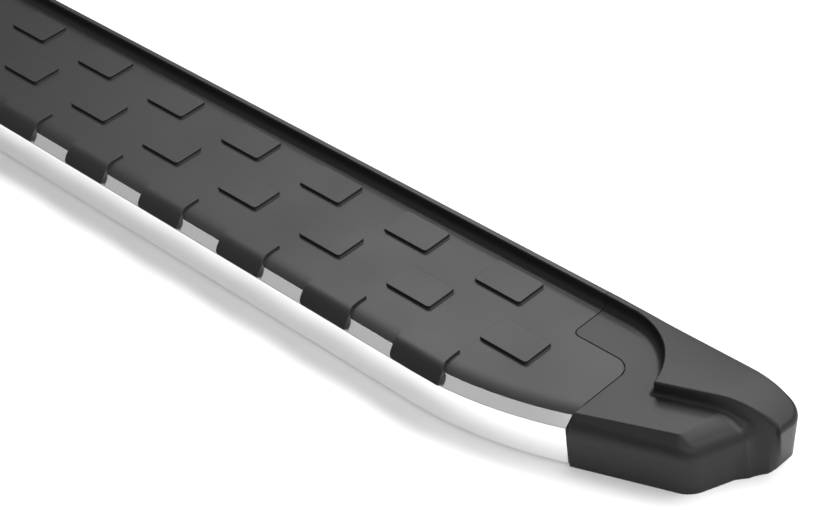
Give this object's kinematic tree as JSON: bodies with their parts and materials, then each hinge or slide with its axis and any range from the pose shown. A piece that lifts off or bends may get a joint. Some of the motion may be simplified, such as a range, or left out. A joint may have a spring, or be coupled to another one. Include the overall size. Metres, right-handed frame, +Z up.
{
  "type": "running board",
  "caption": "Vehicle side running board: moulded tread with raised pads on an aluminium beam, bright outer trim, moulded end caps, bolts in underside channels.",
  "frame": {"origin": "centre of the bounding box in plan, on the ground plane that the end caps stand on", "axes": "+X along the board, +Y towards the vehicle, +Z up"},
  "size_m": [1.7296, 0.1612, 0.066],
  "materials": {
    "tread_plastic": "black moulded plastic, fine grain, satin",
    "cap_plastic": "black moulded plastic, satin",
    "bright_trim": "bright anodised, fine lengthwise brushing",
    "mill_aluminium": "mill finish with extrusion lines",
    "zinc_steel": "zinc plated"
  },
  "bodies": {
    "board": {"main_beam": "mill_aluminium", "outer_trim": "bright_trim", "tread_cover": "tread_plastic", "end_cap_right": "cap_plastic", "end_cap_left": "cap_plastic", "cap_screw_right_1": "zinc_steel", "cap_screw_right_2": "zinc_steel", "cap_screw_right_3": "zinc_steel", "cap_screw_left_1": "zinc_steel", "cap_screw_left_2": "zinc_steel", "cap_screw_left_3": "zinc_steel", "trim_rivet_1": "mill_aluminium", "trim_rivet_2": "mill_aluminium", "trim_rivet_3": "mill_aluminium", "trim_rivet_4": "mill_aluminium", "trim_rivet_5": "mill_aluminium", "trim_rivet_6": "mill_aluminium", "trim_rivet_7": "mill_aluminium", "trim_rivet_8": "mill_aluminium"},
    "bolt_set_front_1": {"channel_bolt_front_1": "zinc_steel", "channel_washer_front_1": "zinc_steel", "channel_nut_front_1": "zinc_steel"},
    "bolt_set_front_2": {"channel_bolt_front_2": "zinc_steel", "channel_washer_front_2": "zinc_steel", "channel_nut_front_2": "zinc_steel"},
    "bolt_set_front_3": {"channel_bolt_front_3": "zinc_steel", "channel_washer_front_3": "zinc_steel", "channel_nut_front_3": "zinc_steel"},
    "bolt_set_front_4": {"channel_bolt_front_4": "zinc_steel", "channel_washer_front_4": "zinc_steel", "channel_nut_front_4": "zinc_steel"},
    "bolt_set_rear_1": {"channel_bolt_rear_1": "zinc_steel", "channel_washer_rear_1": "zinc_steel", "channel_nut_rear_1": "zinc_steel"},
    "bolt_set_rear_2": {"channel_bolt_rear_2": "zinc_steel", "channel_washer_rear_2": "zinc_steel", "channel_nut_rear_2": "zinc_steel"},
    "bolt_set_rear_3": {"channel_bolt_rear_3": "zinc_steel", "channel_washer_rear_3": "zinc_steel", "channel_nut_rear_3": "zinc_steel"},
    "bolt_set_rear_4": {"channel_bolt_rear_4": "zinc_steel", "channel_washer_rear_4": "zinc_steel", "channel_nut_rear_4": "zinc_steel"}
  },
  "joints": [
    {"name": "front_bolt_1_slide", "type": "slide", "parent": "board", "child": "bolt_set_front_1", "axis": [1, 0, 0], "range_m": [-0.15, 0.15]},
    {"name": "front_bolt_2_slide", "type": "slide", "parent": "board", "child": "bolt_set_front_2", "axis": [1, 0, 0], "range_m": [-0.15, 0.15]},
    {"name": "front_bolt_3_slide", "type": "slide", "parent": "board", "child": "bolt_set_front_3", "axis": [1, 0, 0], "range_m": [-0.15, 0.15]},
    {"name": "front_bolt_4_slide", "type": "slide", "parent": "board", "child": "bolt_set_front_4", "axis": [1, 0, 0], "range_m": [-0.15, 0.15]},
    {"name": "rear_bolt_1_slide", "type": "slide", "parent": "board", "child": "bolt_set_rear_1", "axis": [1, 0, 0], "range_m": [-0.15, 0.15]},
    {"name": "rear_bolt_2_slide", "type": "slide", "parent": "board", "child": "bolt_set_rear_2", "axis": [1, 0, 0], "range_m": [-0.15, 0.15]},
    {"name": "rear_bolt_3_slide", "type": "slide", "parent": "board", "child": "bolt_set_rear_3", "axis": [1, 0, 0], "range_m": [-0.15, 0.15]},
    {"name": "rear_bolt_4_slide", "type": "slide", "parent": "board", "child": "bolt_set_rear_4", "axis": [1, 0, 0], "range_m": [-0.15, 0.15]}
  ]
}
